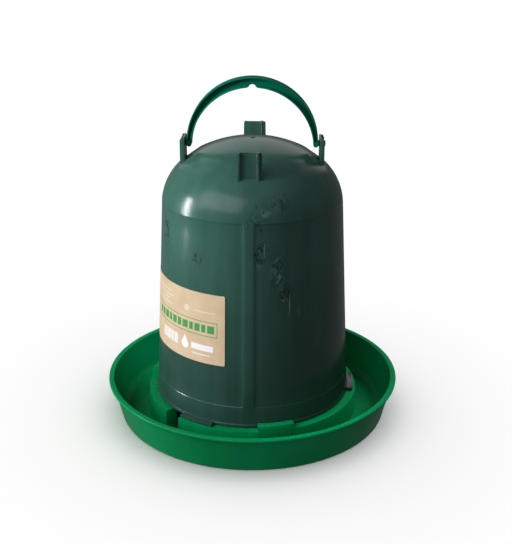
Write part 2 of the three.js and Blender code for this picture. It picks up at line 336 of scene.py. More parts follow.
def turn_object(obj, angle):
    """Turns a mesh about the Z axis by an angle in degrees."""
    obj.data.transform(Matrix.Rotation(math.radians(angle), 4, "Z"))
    return obj


def mirror_object(obj, axis):
    scale = Matrix.Identity(4)
    scale[axis][axis] = -1
    obj.data.transform(scale)
    return outward(obj)


# ------------------------------------------------------------------ node helpers

def new_material(name):
    material = bpy.data.materials.new(name)
    material.use_nodes = True
    material.node_tree.nodes.clear()
    return material, material.node_tree


def add(tree, kind, inputs=None, **settings):
    """Adds a shader node. An input is a value or another node's output socket."""
    node = tree.nodes.new(kind)
    for key, value in settings.items():
        setattr(node, key, value)
    for key, value in (inputs or {}).items():
        if isinstance(value, bpy.types.NodeSocket):
            tree.links.new(value, node.inputs[key])
        else:
            node.inputs[key].default_value = value
    return node


def maths(tree, operation, first, second=0.0, clamp=False):
    node = add(tree, "ShaderNodeMath", {0: first, 1: second}, operation=operation, use_clamp=clamp)
    return node.outputs[0]


def object_coordinates(tree, scale=(1, 1, 1)):
    source = add(tree, "ShaderNodeTexCoord").outputs["Object"]
    mapping = add(tree, "ShaderNodeMapping", {"Vector": source, "Scale": scale})
    return mapping.outputs["Vector"]


def noise(tree, vector, scale, detail, roughness, distortion=0.0):
    node = add(tree, "ShaderNodeTexNoise", {
        "Vector": vector, "Scale": scale, "Detail": detail,
        "Roughness": roughness, "Distortion": distortion,
    })
    return node.outputs["Fac"]


def spread(tree, value, low, high, to_low=0.0, to_high=1.0):
    """Maps a value from one range to another, with its ends held."""
    node = add(tree, "ShaderNodeMapRange", {
        "Value": value, "From Min": low, "From Max": high, "To Min": to_low, "To Max": to_high,
    }, clamp=True)
    return node.outputs["Result"]


def blend_colour(tree, factor, first, second):
    node = add(tree, "ShaderNodeMix", data_type="RGBA", blend_type="MIX", clamp_factor=True)
    for key, value in (("Factor", factor), ("A", first), ("B", second)):
        socket = next(s for s in node.inputs if s.name == key and s.enabled)
        if isinstance(value, bpy.types.NodeSocket):
            tree.links.new(value, socket)
        else:
            socket.default_value = value
    return next(s for s in node.outputs if s.enabled)


def colour(red, green, blue):
    """An sRGB colour from 0 to 255 as a linear one."""
    channels = [c / 255 for c in (red, green, blue)]
    linear = [c / 12.92 if c <= 0.04045 else ((c + 0.055) / 1.055) ** 2.4 for c in channels]
    return (*linear, 1.0)


def near_point(tree, vector, centre, size):
    """1 at a point of the object and 0 beyond size (metres along X, Y and Z) from it."""
    shifted = add(tree, "ShaderNodeVectorMath", {0: vector, 1: centre}, operation="SUBTRACT").outputs[0]
    scaled = add(tree, "ShaderNodeVectorMath", {0: shifted, 1: size}, operation="DIVIDE").outputs[0]
    length = add(tree, "ShaderNodeVectorMath", {0: scaled}, operation="LENGTH").outputs["Value"]
    return spread(tree, length, 1.0, 0.35, 0.0, 1.0)


def side_radius(height):
    """Outer radius of the tank's tapered side, without its panels."""
    share = (height - SKIRT_HEIGHT) / (SHOULDER_HEIGHT - SKIRT_HEIGHT)
    return SKIRT_TOP_RADIUS + (SHOULDER_RADIUS - SKIRT_TOP_RADIUS) * share


def on_tank(azimuth, height):
    """The point of the tank's side, in metres, at an azimuth in degrees and a height in millimetres."""
    point = direction(azimuth) * side_radius(height)
    return (point.x * MM, point.y * MM, height * MM)


# ------------------------------------------------------------------ materials

def tank_material():
    """Dark green recycled polypropylene: uneven colour, flow streaks, rub marks, a few scratches and painted
    shade darkening it towards the bottom.
    """
    material, tree = new_material("tank_plastic")
    place = object_coordinates(tree)
    clouds = noise(tree, place, 9, 4, 0.6, 0.4)
    streaks = noise(tree, object_coordinates(tree, (70, 70, 5)), 1.0, 4, 0.6)
    flecks = noise(tree, place, 1400, 2, 0.6)
    base = blend_colour(tree, spread(tree, clouds, 0.35, 0.7), colour(35, 66, 58), colour(42, 77, 68))
    base = blend_colour(tree, spread(tree, streaks, 0.4, 0.75, 0, 0.35), base, colour(56, 90, 81))
    base = blend_colour(tree, spread(tree, flecks, 0.62, 0.8, 0, 0.35), base, colour(70, 102, 93))
    rub_shape = noise(tree, object_coordinates(tree, (1, 1, 0.55)), 95, 3, 0.55, 1.8)
    rub_line = spread(tree, maths(tree, "ABSOLUTE", maths(tree, "SUBTRACT", rub_shape, 0.5)), 0.045, 0.012)
    # azimuth, height in millimetres, and the spot's reach in metres along X, Y and Z
    rub_spots = [
        (-33, 189, (0.009, 0.009, 0.008)),
        (8, 238, (0.012, 0.012, 0.010)),
        (3, 222, (0.010, 0.010, 0.014)),
        (6, 200, (0.010, 0.010, 0.018)),
        (17, 182, (0.010, 0.012, 0.024)),
        (22, 160, (0.009, 0.012, 0.022)),
        (-64, 205, (0.006, 0.012, 0.018)),
        (19, 245, (0.012, 0.016, 0.012)),
        (0, 276, (0.009, 0.030, 0.011)),
    ]
    rubbed = None
    for azimuth, height, size in rub_spots:
        spot = near_point(tree, place, on_tank(azimuth, height), size)
        rubbed = spot if rubbed is None else maths(tree, "MAXIMUM", rubbed, spot)
    rub = maths(tree, "MULTIPLY", rubbed, rub_line)
    level = add(tree, "ShaderNodeSeparateXYZ", {"Vector": place}).outputs["Z"]
    uneven_level = maths(tree, "ADD", level, maths(tree, "MULTIPLY", clouds, 0.03))
    # Painted shade: the colour turns darker towards the bottom of the tank, where the tray shades it, with
    # an edge made uneven by the colour clouds.
    painted_shade_below = spread(tree, uneven_level, 0.06, 0.2, 0.42, 0.0)
    base = blend_colour(tree, painted_shade_below, base, colour(6, 10, 8))
    base = blend_colour(tree, rub, base, colour(12, 23, 18))
    worn = maths(tree, "MULTIPLY", rubbed, spread(tree, noise(tree, place, 70, 4, 0.6, 1.2), 0.56, 0.68))
    base = blend_colour(tree, maths(tree, "MULTIPLY", worn, 0.55), base, colour(74, 120, 108))
    # the same three values for each scratch
    scratches = [
        (24, 150, (0.0009, 0.0016, 0.017)),
        (30, 141, (0.0006, 0.0012, 0.011)),
        (18, 176, (0.0018, 0.002, 0.004)),
        (9, 205, (0.0007, 0.001, 0.013)),
    ]
    for azimuth, height, size in scratches:
        scratch = near_point(tree, place, on_tank(azimuth, height), size)
        base = blend_colour(tree, maths(tree, "MULTIPLY", scratch, 0.7), base, colour(84, 136, 124))
    haze = noise(tree, place, 26, 5, 0.62, 0.5)
    rough = spread(tree, haze, 0.3, 0.75, 0.19, 0.28)
    rough = maths(tree, "ADD", rough, maths(tree, "MULTIPLY", rub, 0.14), clamp=True)
    peel = noise(tree, place, 330, 2, 0.5)
    waves = noise(tree, object_coordinates(tree, (1, 1, 0.25)), 55, 2, 0.5)
    height = maths(tree, "ADD", maths(tree, "MULTIPLY", peel, 0.18), maths(tree, "MULTIPLY", waves, 0.9))
    bump = add(tree, "ShaderNodeBump", {"Height": height, "Strength": 0.3, "Distance": 0.0004})
    shader = add(tree, "ShaderNodeBsdfPrincipled", {
        "Base Color": base, "Roughness": rough, "Normal": bump.outputs["Normal"],
        "IOR": 1.5, "Specular IOR Level": 0.42,
    })
    add(tree, "ShaderNodeOutputMaterial", {"Surface": shader.outputs[0]})
    return material


def green_material(name, deep, bright, rough_low, rough_high):
    """Bright green polypropylene with slight colour clouds, fine scuffs and moulding waves."""
    material, tree = new_material(name)
    place = object_coordinates(tree)
    clouds = noise(tree, place, 14, 4, 0.6, 0.3)
    base = blend_colour(tree, spread(tree, clouds, 0.35, 0.7), deep, bright)
    scuffs = noise(tree, object_coordinates(tree, (1, 1, 2.5)), 230, 5, 0.7, 0.6)
    pale = tuple(min(1.0, c * 1.25 + 0.01) for c in bright[:3]) + (1.0,)
    base = blend_colour(tree, spread(tree, scuffs, 0.6, 0.78, 0, 0.35), base, pale)
    rough = spread(tree, noise(tree, place, 40, 4, 0.6), 0.3, 0.7, rough_low, rough_high)
    peel = noise(tree, place, 420, 2, 0.5)
    waves = noise(tree, place, 45, 2, 0.5)
    height = maths(tree, "ADD", maths(tree, "MULTIPLY", peel, 0.15), waves)
    bump = add(tree, "ShaderNodeBump", {"Height": height, "Strength": 0.25, "Distance": 0.0004})
    shader = add(tree, "ShaderNodeBsdfPrincipled", {
        "Base Color": base, "Roughness": rough, "Normal": bump.outputs["Normal"],
        "IOR": 1.5, "Specular IOR Level": 0.11,
    })
    add(tree, "ShaderNodeOutputMaterial", {"Surface": shader.outputs[0]})
    return material


def box_mask(tree, u, v, left, right, bottom, top):
    """1 inside a rectangle of the label, whose u and v are in millimetres."""
    inside = [
        maths(tree, "GREATER_THAN", u, left),
        maths(tree, "LESS_THAN", u, right),
        maths(tree, "GREATER_THAN", v, bottom),
        maths(tree, "LESS_THAN", v, top),
    ]
    mask = inside[0]
    for part in inside[1:]:
        mask = maths(tree, "MULTIPLY", mask, part)
    return mask


def any_of(tree, masks):
    whole = masks[0]
    for mask in masks[1:]:
        whole = maths(tree, "MAXIMUM", whole, mask)
    return whole


def disc_mask(tree, u, v, centre_u, centre_v, radius):
    across = maths(tree, "POWER", maths(tree, "SUBTRACT", u, centre_u), 2.0)
    up = maths(tree, "POWER", maths(tree, "SUBTRACT", v, centre_v), 2.0)
    distance = maths(tree, "SQRT", maths(tree, "ADD", across, up))
    return maths(tree, "LESS_THAN", distance, radius)


def label_material(width, height):
    """Kraft paper with fibres, printed with a framed row of blocks, bars, a drop and faint rules."""
    material, tree = new_material("kraft_label")
    uv = add(tree, "ShaderNodeUVMap", uv_map="label").outputs["UV"]
    split = add(tree, "ShaderNodeSeparateXYZ", {"Vector": uv})
    u = maths(tree, "MULTIPLY", split.outputs["X"], width)
    v = maths(tree, "MULTIPLY", split.outputs["Y"], height)
    place = object_coordinates(tree)
    tone = noise(tree, place, 60, 5, 0.6)
    fibres = noise(tree, object_coordinates(tree, (1, 1, 5)), 700, 4, 0.7, 1.0)
    paper = blend_colour(tree, spread(tree, tone, 0.3, 0.7), colour(198, 174, 142), colour(208, 187, 157))
    paper = blend_colour(tree, spread(tree, fibres, 0.55, 0.75, 0, 0.5), paper, colour(170, 142, 110))
    paper = blend_colour(tree, spread(tree, fibres, 0.42, 0.25, 0, 0.35), paper, colour(232, 210, 178))
    right = width - 7.5
    frame_outer = box_mask(tree, u, v, -1, right, 27.5, 42.5)
    frame_inner = box_mask(tree, u, v, -2, right - 0.7, 28.2, 41.8)
    frame_line = maths(tree, "SUBTRACT", frame_outer, frame_inner)
    blocks = []
    edge = right - 3.4
    for block_width in (7.4, 4.6, 6.2, 4.6, 7.4, 5.2, 6.4, 4.6, 7.4, 5.4, 6.2):
        blocks.append(box_mask(tree, u, v, edge - block_width, edge, 31.2, 38.8))
        edge -= block_width + 1.9
    green = any_of(tree, [frame_line, *blocks])
    bars = []
    edge = width - 83
    for bar_width in (1.6, 0.9, 2.2, 0.8, 1.4, 2.6, 0.9, 1.9, 1.2, 0.8, 2.3, 1.1):
        bars.append(box_mask(tree, u, v, edge, edge + bar_width, 10.5, 21.5))
        edge += bar_width + 0.9
    drop_u, drop_v, drop_radius = width - 45, 14.5, 4.6
    drop_round = disc_mask(tree, u, v, drop_u, drop_v, drop_radius)
    drop_box = box_mask(tree, u, v, drop_u - drop_radius, drop_u + drop_radius, drop_v, 24.5)
    beside = maths(tree, "ABSOLUTE", maths(tree, "SUBTRACT", u, drop_u))
    slant = maths(tree, "ADD", maths(tree, "MULTIPLY", beside, 2.1), v)
    drop_point = maths(tree, "MULTIPLY", drop_box, maths(tree, "LESS_THAN", slant, 24.2))
    drop = [drop_round, drop_point]
    pill = [
        box_mask(tree, u, v, width - 36.5, width - 12, 12.2, 18.2),
        box_mask(tree, u, v, width - 35.5, width - 15, 7.6, 8.5),
    ]
    white = any_of(tree, [*bars, *drop, *pill])
    faint = []
    for line, reach in enumerate((66, 70, 62, 68)):
        bottom = 60.5 - 4.2 * line
        faint.append(box_mask(tree, u, v, 6, reach - 16, bottom, bottom + 1.3))
    faint.append(disc_mask(tree, u, v, width - 43, 52, 3.2))
    faint.append(box_mask(tree, u, v, width - 34, width - 10, 51, 52.2))
    faint = any_of(tree, faint)
    printed = blend_colour(tree, maths(tree, "MULTIPLY", faint, 0.42), paper, colour(232, 226, 226))
    printed = blend_colour(tree, maths(tree, "MULTIPLY", white, 0.9), printed, colour(236, 236, 242))
    printed = blend_colour(tree, maths(tree, "MULTIPLY", green, 0.92), printed, colour(26, 142, 72))
    bump = add(tree, "ShaderNodeBump", {"Height": fibres, "Strength": 0.25, "Distance": 0.00015})
    shader = add(tree, "ShaderNodeBsdfPrincipled", {
        "Base Color": printed,
        "Roughness": spread(tree, fibres, 0.3, 0.7, 0.62, 0.78),
        "Normal": bump.outputs["Normal"],
        "Specular IOR Level": 0.35,
    })
    add(tree, "ShaderNodeOutputMaterial", {"Surface": shader.outputs[0]})
    return material


# ------------------------------------------------------------------ tank

def shoulder_arc():
    """The side's taper in degrees, and the radius and height of the shoulder arc's centre."""
    taper = math.atan((SKIRT_TOP_RADIUS - SHOULDER_RADIUS) / (SHOULDER_HEIGHT - SKIRT_HEIGHT))
    centre_r = SHOULDER_RADIUS - SHOULDER_ARC * math.cos(taper)
    centre_z = SHOULDER_HEIGHT - SHOULDER_ARC * math.sin(taper)
    return math.degrees(taper), centre_r, centre_z


def wall_radius(height):
    """The tank's outer radius on the side and on the start of the shoulder."""
    if height <= SHOULDER_HEIGHT:
        return side_radius(height)
    _, centre_r, centre_z = shoulder_arc()
    return centre_r + math.sqrt(SHOULDER_ARC ** 2 - (height - centre_z) ** 2)


def dome_profile(inset):
    """Cap, cone and shoulder from the axis down to the top of the side, moved in by inset."""
    taper, centre_r, centre_z = shoulder_arc()
    cap_centre = APEX_HEIGHT - CAP_RADIUS
    cap_edge = math.degrees(math.acos(CAP_EDGE_RADIUS / CAP_RADIUS))
    cap = arc(0, cap_centre, CAP_RADIUS - inset, 90, cap_edge, 14)
    cap[0].x = 0
    shoulder = arc(centre_r, centre_z, SHOULDER_ARC - inset, SHOULDER_END, taper, 12)
    cone = along(cap[-1], shoulder[0], 3)[1:-1]
    return cap + cone + shoulder


def smooth_step(value, low, high):
    share = min(max((value - low) / (high - low), 0), 1)
    return share * share * (3 - 2 * share)


def panel_depth(azimuth, height):
    """How far the side is pressed in between the strips, the skirt and the shoulder."""
    from_strip = abs((azimuth + 45) % 90 - 45)
    across = smooth_step(from_strip, STRIP_HALF_WIDTH, STRIP_HALF_WIDTH + STRIP_EDGE)
    up = smooth_step(height, SKIRT_HEIGHT, SKIRT_HEIGHT + PANEL_BOTTOM_EDGE)
    down = 1 - smooth_step(height, PANEL_TOP - PANEL_TOP_EDGE, PANEL_TOP)
    return PANEL_RECESS * across * up * down


def tank_columns():
    """Azimuths of the side's mesh columns, close together at the strips' edges."""
    strip = [-STRIP_HALF_WIDTH, -1.5, 0, 1.5, STRIP_HALF_WIDTH]
    slope = [3.22, 3.35, 3.48]
    panel_start = STRIP_HALF_WIDTH + STRIP_EDGE
    panel_width = 90 - 2 * panel_start
    arcs = 36
    panel = [panel_start + panel_width * step / arcs for step in range(arcs + 1)]
    quarter = strip + slope + panel + [90 - azimuth for azimuth in reversed(slope)]
    return [turn * 90 + azimuth for turn in range(4) for azimuth in quarter]


def tank_shell():
    outside = [point for point in dome_profile(0) if point.y > PANEL_TOP + 0.3]
    panel_rows = [PANEL_TOP, PANEL_TOP - 0.3, PANEL_TOP - 0.6, PANEL_TOP - 0.9, PANEL_TOP - PANEL_TOP_EDGE]
    flat_height = PANEL_TOP - SKIRT_HEIGHT - (PANEL_TOP_EDGE + PANEL_BOTTOM_EDGE)
    panel_rows += [PANEL_TOP - PANEL_TOP_EDGE - flat_height * step / 12 for step in range(1, 13)]
    panel_rows += [SKIRT_HEIGHT + 0.68, SKIRT_HEIGHT + 0.45, SKIRT_HEIGHT + 0.22, SKIRT_HEIGHT]
    side = [Vector((wall_radius(height), height)) for height in panel_rows]
    bottom = TANK_BOTTOM
    skirt = rounded([
        (SKIRT_TOP_RADIUS, SKIRT_HEIGHT, 0),
        (SKIRT_RADIUS - 0.85, bottom + 3.3, 0.5),
        (SKIRT_RADIUS, bottom + 2.5, 0.5),
        (SKIRT_RADIUS, bottom, 0.6),
        (SKIRT_INNER_RADIUS, bottom, 0.6),
        (SKIRT_TOP_RADIUS - TANK_WALL - PANEL_RECESS, SKIRT_HEIGHT, 0),
    ], 3)[1:]
    inside = list(reversed(dome_profile(TANK_WALL)))
    profile = outside + side + skirt + inside
    outer_rows = len(outside) + len(side)

    def press(azimuth, height, row):
        return -panel_depth(azimuth, height) if row < outer_rows else 0

    return lathe("tank_body", profile, tank_columns(), press)


def foot_prism(inner_radius, depth, chamfered):
    """One channel foot at the front: a plate towards the axis and two ribs outwards.

    The plate's inner face has a low upright bead where the inset rib meets it from behind.
    """
    half = FOOT_HALF_WIDTH
    near = -inner_radius
    plate = near - FOOT_PLATE
    far = near - depth
    rib_right = half - FOOT_RIB_INSET
    bead_right = rib_right - FOOT_RIB / 2 + 0.6
    bead = near + SINK_MARK
    plan = [
        (-half, near), (bead_right - 1.2, near), (bead_right - 1.1, bead), (bead_right - 0.1, bead),
        (bead_right, near), (half, near), (half, plate), (rib_right, plate), (rib_right, far),
        (rib_right - FOOT_RIB, far), (rib_right - FOOT_RIB, plate), (FOOT_RIB - half, plate),
        (FOOT_RIB - half, far), (-half, far),
    ]
    foot = prism("foot", plan, FOOT_TOP - FOOT_ROOT, Matrix.Translation((0, 0, FOOT_ROOT)))
    outline = [Vector((-half, FOOT_ROOT - 2)), Vector((half, FOOT_ROOT - 2))]
    outline += arc(half - FOOT_CORNER, FOOT_TOP - FOOT_CORNER, FOOT_CORNER, 0, 90, 6)
    outline += arc(FOOT_CORNER - half, FOOT_TOP - FOOT_CORNER, FOOT_CORNER, 90, 180, 6)
    front_view = Matrix.Translation((0, far - 2, 0)) @ upright_matrix()
    boolean(foot, [prism("round", outline, depth + 4, front_view)], "INTERSECT")
    if chamfered:
        edge = far + SIDE_CHAMFER * SIDE_CHAMFER_SLOPE
        outline = [
            (far - 2, FOOT_TOP + 2), (edge, FOOT_TOP + 2), (edge, FOOT_TOP),
            (far, FOOT_TOP - SIDE_CHAMFER), (far - 2, FOOT_TOP - SIDE_CHAMFER),
        ]
        side_view = Matrix(((0, 0, 1, -half - 2), (1, 0, 0, 0), (0, 1, 0, 0), (0, 0, 0, 1)))
        boolean(foot, [prism("chamfer", outline, 2 * half + 4, side_view)], "DIFFERENCE")
    bevel(foot, FOOT_ROUNDING, 3)
    return flare(foot)


def flare(foot):
    """Moulding draft: the foot grows a little wider towards the dome."""
    for vertex in foot.data.vertices:
        drop = (FOOT_TOP * MM - vertex.co.z) / (30 * MM)
        vertex.co.x *= 1 + 0.05 * drop
    return foot


def gusset(inner_radius):
    """A small triangular web between the back of a foot and the dome."""
    near = -inner_radius
    outline = [(near - 0.5, 258), (near + 5.6, 258), (near + 5.6, 263), (near, 270.5), (near - 0.5, 270.5)]
    side_view = Matrix(((0, 0, 1, -1), (1, 0, 0, 0), (0, 1, 0, 0), (0, 0, 0, 1)))
    return bevel(prism("gusset", outline, 2, side_view), 0.3)


def feet():
    made = []
    for index in range(4):
        at_side = index in (1, 3)
        inner_radius = SIDE_FOOT_INNER if at_side else FRONT_FOOT_INNER
        depth = SIDE_FOOT_DEPTH if at_side else FRONT_FOOT_DEPTH
        foot = foot_prism(inner_radius, depth, at_side)
        brace = gusset(inner_radius)
        for part in (foot, brace):
            if index == 1:
                turn_object(part, 90)
            elif index == 2:
                mirror_object(part, 1)
            elif index == 3:
                mirror_object(turn_object(part, 90), 0)
        made += [foot, brace]
    return made


def bayonet_lug(azimuth):
    half = LUG_WIDTH / 2
    block = sector("lug", SKIRT_RADIUS - 2, LUG_RADIUS, TANK_BOTTOM, TANK_BOTTOM + LUG_HEIGHT,
                   azimuth - half, azimuth + half)
    return bevel(block, 0.5)


def hollow_space():
    """The space inside the tank, for trimming what reaches through the shell."""
    inside = dome_profile(TANK_WALL)
    bottom = TANK_BOTTOM
    profile = inside + [
        Vector((SKIRT_INNER_RADIUS, bottom + 3)), Vector((SKIRT_INNER_RADIUS, bottom - 5)),
        Vector((0, bottom - 5)),
    ]
    return lathe("hollow", profile, even_columns(120))


def tank():
    shell = tank_shell()
    feet_and_gussets = feet()
    lugs = [bayonet_lug(LUG_AZIMUTH + 120 * index) for index in range(3)]
    hollow = hollow_space()
    for part in feet_and_gussets:
        copy = hollow.copy()
        copy.data = hollow.data.copy()
        bpy.context.scene.collection.objects.link(copy)
        boolean(part, [copy], "DIFFERENCE")
    bpy.data.objects.remove(hollow)
    sprue = lathe("sprue", [
        Vector((0, APEX_HEIGHT + SPRUE_HEIGHT - 0.25)),
        Vector((SPRUE_RADIUS - 1.1, APEX_HEIGHT + SPRUE_HEIGHT - 0.25)),
        Vector((SPRUE_RADIUS - 0.9, APEX_HEIGHT + SPRUE_HEIGHT)),
        Vector((SPRUE_RADIUS - 0.1, APEX_HEIGHT + SPRUE_HEIGHT)),
        Vector((SPRUE_RADIUS, APEX_HEIGHT + SPRUE_HEIGHT - 0.2)),
        Vector((SPRUE_RADIUS, APEX_HEIGHT - 0.6)),
        Vector((0, APEX_HEIGHT - 0.6)),
    ], even_columns(40))
    boolean(shell, feet_and_gussets + lugs + [sprue], "UNION")
    reach = SIDE_FOOT_INNER - GUSSET_LENGTH
    holes = [
        bar_along_x("hole", PIN_HOLE_RADIUS, side * reach, side * PIN_END, PIVOT_HEIGHT)
        for side in (1, -1)
    ]
    boolean(shell, [outward(hole) for hole in holes], "DIFFERENCE")
    return shade(shell)


# ------------------------------------------------------------------ tray

def tray_pan():
    lip_bottom = RIM_HEIGHT - LIP_THICKNESS
    slope = (WALL_TOP_RADIUS - BASE_RADIUS) / lip_bottom
    profile = rounded([
        (0, 0, 0),
        (BASE_RADIUS, 0, BASE_FILLET),
        (WALL_TOP_RADIUS, lip_bottom, 0.8),
        (RIM_RADIUS, lip_bottom, 0.9),
        (RIM_RADIUS, RIM_HEIGHT, 1.1),
        (LIP_INNER_RADIUS, RIM_HEIGHT, 1.4),
        (BASE_RADIUS - TRAY_WALL + slope * TRAY_FLOOR, TRAY_FLOOR, TROUGH_FILLET),
        (0, TRAY_FLOOR, 0),
    ], 6)
    return lathe("tray_body", profile, even_columns(256))


def tray_collar():
    foot = TRAY_FLOOR / 2
    ring = lathe("collar", [
        Vector((COLLAR_INNER - COLLAR_DRAFT, foot)),
        Vector((COLLAR_OUTER + COLLAR_DRAFT, foot)),
        Vector((COLLAR_OUTER, LEDGE_HEIGHT)),
        Vector((COLLAR_INNER, LEDGE_HEIGHT)),
    ], even_columns(240))
    half = OUTLET_WIDTH / 2
    gate = sector("gate", COLLAR_INNER - 3, COLLAR_OUTER + 3, TRAY_FLOOR, LEDGE_HEIGHT + 3,
                  OUTLET_AZIMUTH - half, OUTLET_AZIMUTH + half, 3)
    boolean(ring, [gate], "DIFFERENCE")
    hooks = [bayonet_hook(HOOK_AZIMUTH + 120 * index) for index in range(3)]
    boolean(ring, hooks, "UNION")
    return bevel(ring, 0.45, 2, 50)


def bayonet_hook(azimuth):
    half = HOOK_WIDTH / 2
    block = sector("hook", HOOK_INNER, COLLAR_OUTER, LEDGE_HEIGHT - 2, HOOK_TOP,
                   azimuth - half, azimuth + half)
    slot = sector("slot", HOOK_INNER - 2, HOOK_SLOT_RADIUS, LEDGE_HEIGHT, LEDGE_HEIGHT + HOOK_SLOT_HEIGHT,
                  azimuth - half - 2, azimuth + half - HOOK_STOP)
    return boolean(block, [slot], "DIFFERENCE")


def tray():
    pan = tray_pan()
    boolean(pan, [tray_collar()], "UNION")
    margin = OUTLET_WIDTH / 2 + 1.4
    groove = sector("groove", COLLAR_INNER + COLLAR_WALL, COLLAR_OUTER - COLLAR_WALL,
                    -2, LEDGE_HEIGHT - COLLAR_WALL,
                    OUTLET_AZIMUTH + margin, OUTLET_AZIMUTH + 360 - margin, 240)
    boolean(pan, [groove], "DIFFERENCE")
    return shade(pan)


# ------------------------------------------------------------------ handle

def crescent(inset, raised, steps):
    """Outline of the arch between its two arcs, made thinner by inset, with its ends raised."""
    outer = ARCH_OUTER - inset
    inner = ARCH_INNER + inset
    outer_end = math.degrees(math.asin((raised - ARCH_END_DROP - ARCH_OUTER_CENTRE) / outer))
    inner_end = math.degrees(math.asin((raised - ARCH_END_DROP - ARCH_INNER_CENTRE) / inner))
    outside = arc(0, ARCH_OUTER_CENTRE, outer, outer_end, 180 - outer_end, steps)
    inside = arc(0, ARCH_INNER_CENTRE, inner, 180 - inner_end, inner_end, steps)
    return outside + inside


def along_y(name, outline, start, end):
    return prism(name, outline, end - start, Matrix.Translation((0, start, PIVOT_HEIGHT)) @ upright_matrix())


def hook_notch():
    outline = [Vector((-NOTCH_SHOULDER, NOTCH_CENTRE - 4)), Vector((NOTCH_SHOULDER, NOTCH_CENTRE - 4)),
               Vector((NOTCH_SHOULDER, NOTCH_CENTRE))]
    outline += arc(0, NOTCH_CENTRE, NOTCH_RADIUS, 45, 135, 14)
    outline += [Vector((-NOTCH_SHOULDER, NOTCH_CENTRE))]
    return along_y("notch", outline, -ARCH_WIDTH, ARCH_WIDTH)


def handle_end():
    """The rounded end of the arch on the +X side, with its boss and pin."""
    middle = (ARCH_OUTER + ARCH_INNER) / 2 - 0.1
    radius = (ARCH_OUTER - ARCH_INNER) / 2 + 0.2
    half = ARCH_WIDTH / 2
    circle = arc(middle, -ARCH_END_DROP, radius, 0, 350, 35)
    tip = along_y("tip", circle, -half, half)
    start = middle + radius - 4
    parts = [
        bar_along_x("boss", BOSS_RADIUS, start, SIDE_FOOT_INNER - CLEARANCE, PIVOT_HEIGHT),
        bar_along_x("pin", PIN_RADIUS, start, PIN_END - 0.5, PIVOT_HEIGHT),
        bevel(bar_along_x("head", PIN_HEAD_RADIUS, PIN_HEAD_START, PIN_END, PIVOT_HEIGHT), 0.5, 3),
    ]
    return boolean(tip, parts, "UNION")


def handle():
    half = ARCH_WIDTH / 2
    web = ARCH_WEB / 2
    arch = along_y("handle_arch", crescent(0, 0, 96), -half, half)
    pockets = [
        along_y("pocket", crescent(ARCH_FLANGE, ARCH_POCKET_END, 96), web, half + 2),
        along_y("pocket", crescent(ARCH_FLANGE, ARCH_POCKET_END, 96), -half - 2, -web),
    ]
    boolean(arch, pockets + [hook_notch()], "DIFFERENCE")
    boolean(arch, [handle_end(), mirror_object(handle_end(), 0)], "UNION")
    bevel(arch, 0.4, 2, 40)
    return shade(arch)


# ------------------------------------------------------------------ label

def label():
    """A thin curved sheet with rounded corners and a flat UV map named label."""
    bottom = label_low.z
    top = label_high.z
    middle_radius = side_radius((bottom + top) / 2)
    width = math.radians(LABEL_WIDTH) * middle_radius
    height = top - bottom
    columns, rows = 96, 40
    verts = []
    places = []
    for row in range(rows + 1):
        for column in range(columns + 1):
            u, v = round_corner(column / columns * width, row / rows * height, width, height)
            azimuth = LABEL_RIGHT - LABEL_WIDTH * (1 - u / width)
            level = bottom + v
            radius = side_radius(level) - PANEL_RECESS + CLEARANCE
            point = direction(azimuth) * radius
            verts.append((point.x, point.y, level))
            places.append((u / width, v / height))
    faces = []
    for row in range(rows):
        for column in range(columns):
            first = row * (columns + 1) + column
            faces.append([first, first + 1, first + columns + 2, first + columns + 1])
    sheet = new_object("paper_label", verts, faces)
    layer = sheet.data.uv_layers.new(name="label")
    for loop in sheet.data.loops:
        layer.data[loop.index].uv = places[loop.vertex_index]
    thicken = sheet.modifiers.new("thickness", "SOLIDIFY")
    thicken.thickness = LABEL_THICKNESS * MM
    thicken.offset = 1
    bake(sheet)
    shade(sheet)
    return sheet, width, height


def round_corner(u, v, width, height):
    """Pulls a point of the sheet in from the label's rounded corners."""
    radius = LABEL_CORNER
    near_u = min(max(u, radius), width - radius)
    near_v = min(max(v, radius), height - radius)
    away = Vector((u - near_u, v - near_v))
    longest = max(abs(away.x), abs(away.y))
    if away.length > 0 and longest > 0:
        away *= longest / away.length
    return near_u + away.x, near_v + away.y


# ------------------------------------------------------------------ stage, lights and camera, in metres

FLOOR_HALF_SIZE = 30
LIGHT_TARGET_HEIGHT = 0.17


def pale_floor():
    half = FLOOR_HALF_SIZE
    corners = [(-half, -half, 0), (half, -half, 0), (half, half, 0), (-half, half, 0)]
    mesh = bpy.data.meshes.new("floor")
    mesh.from_pydata(corners, [], [(0, 1, 2, 3)])
    floor = bpy.data.objects.new("floor", mesh)
    bpy.context.scene.collection.objects.link(floor)
    material, tree = new_material("pale_floor")
    shader = add(tree, "ShaderNodeBsdfPrincipled", {
        "Base Color": (0.9, 0.9, 0.9, 1), "Roughness": 0.9, "Specular IOR Level": 0.1,
    })
    add(tree, "ShaderNodeOutputMaterial", {"Surface": shader.outputs[0]})
    mesh.materials.append(material)
    floor.visible_glossy = False
    floor.visible_diffuse = False
    return floor


def area_light(name, azimuth, elevation, distance, width, height, radiance):
    """A rectangular light of an even radiance that faces the middle of the object."""
    target = Vector((0, 0, LIGHT_TARGET_HEIGHT))
    flat = direction(azimuth) * math.cos(math.radians(elevation))
    place = target + (flat + Vector((0, 0, math.sin(math.radians(elevation))))) * distance
    data = bpy.data.lights.new(name, "AREA")
    data.shape = "RECTANGLE"
    data.size = width
    data.size_y = height
    data.energy = math.pi * width * height * radiance
    lamp = bpy.data.objects.new(name, data)
    lamp.location = place
    lamp.rotation_euler = (target - place).to_track_quat("-Z", "Y").to_euler()
    bpy.context.scene.collection.objects.link(lamp)
    return lamp


def lit_only(lamp, objects):
    """Keeps a light to the objects named."""
    group = bpy.data.collections.new(lamp.name + "_receivers")
    for obj in objects:
        group.objects.link(obj)
    lamp.light_linking.receiver_collection = group


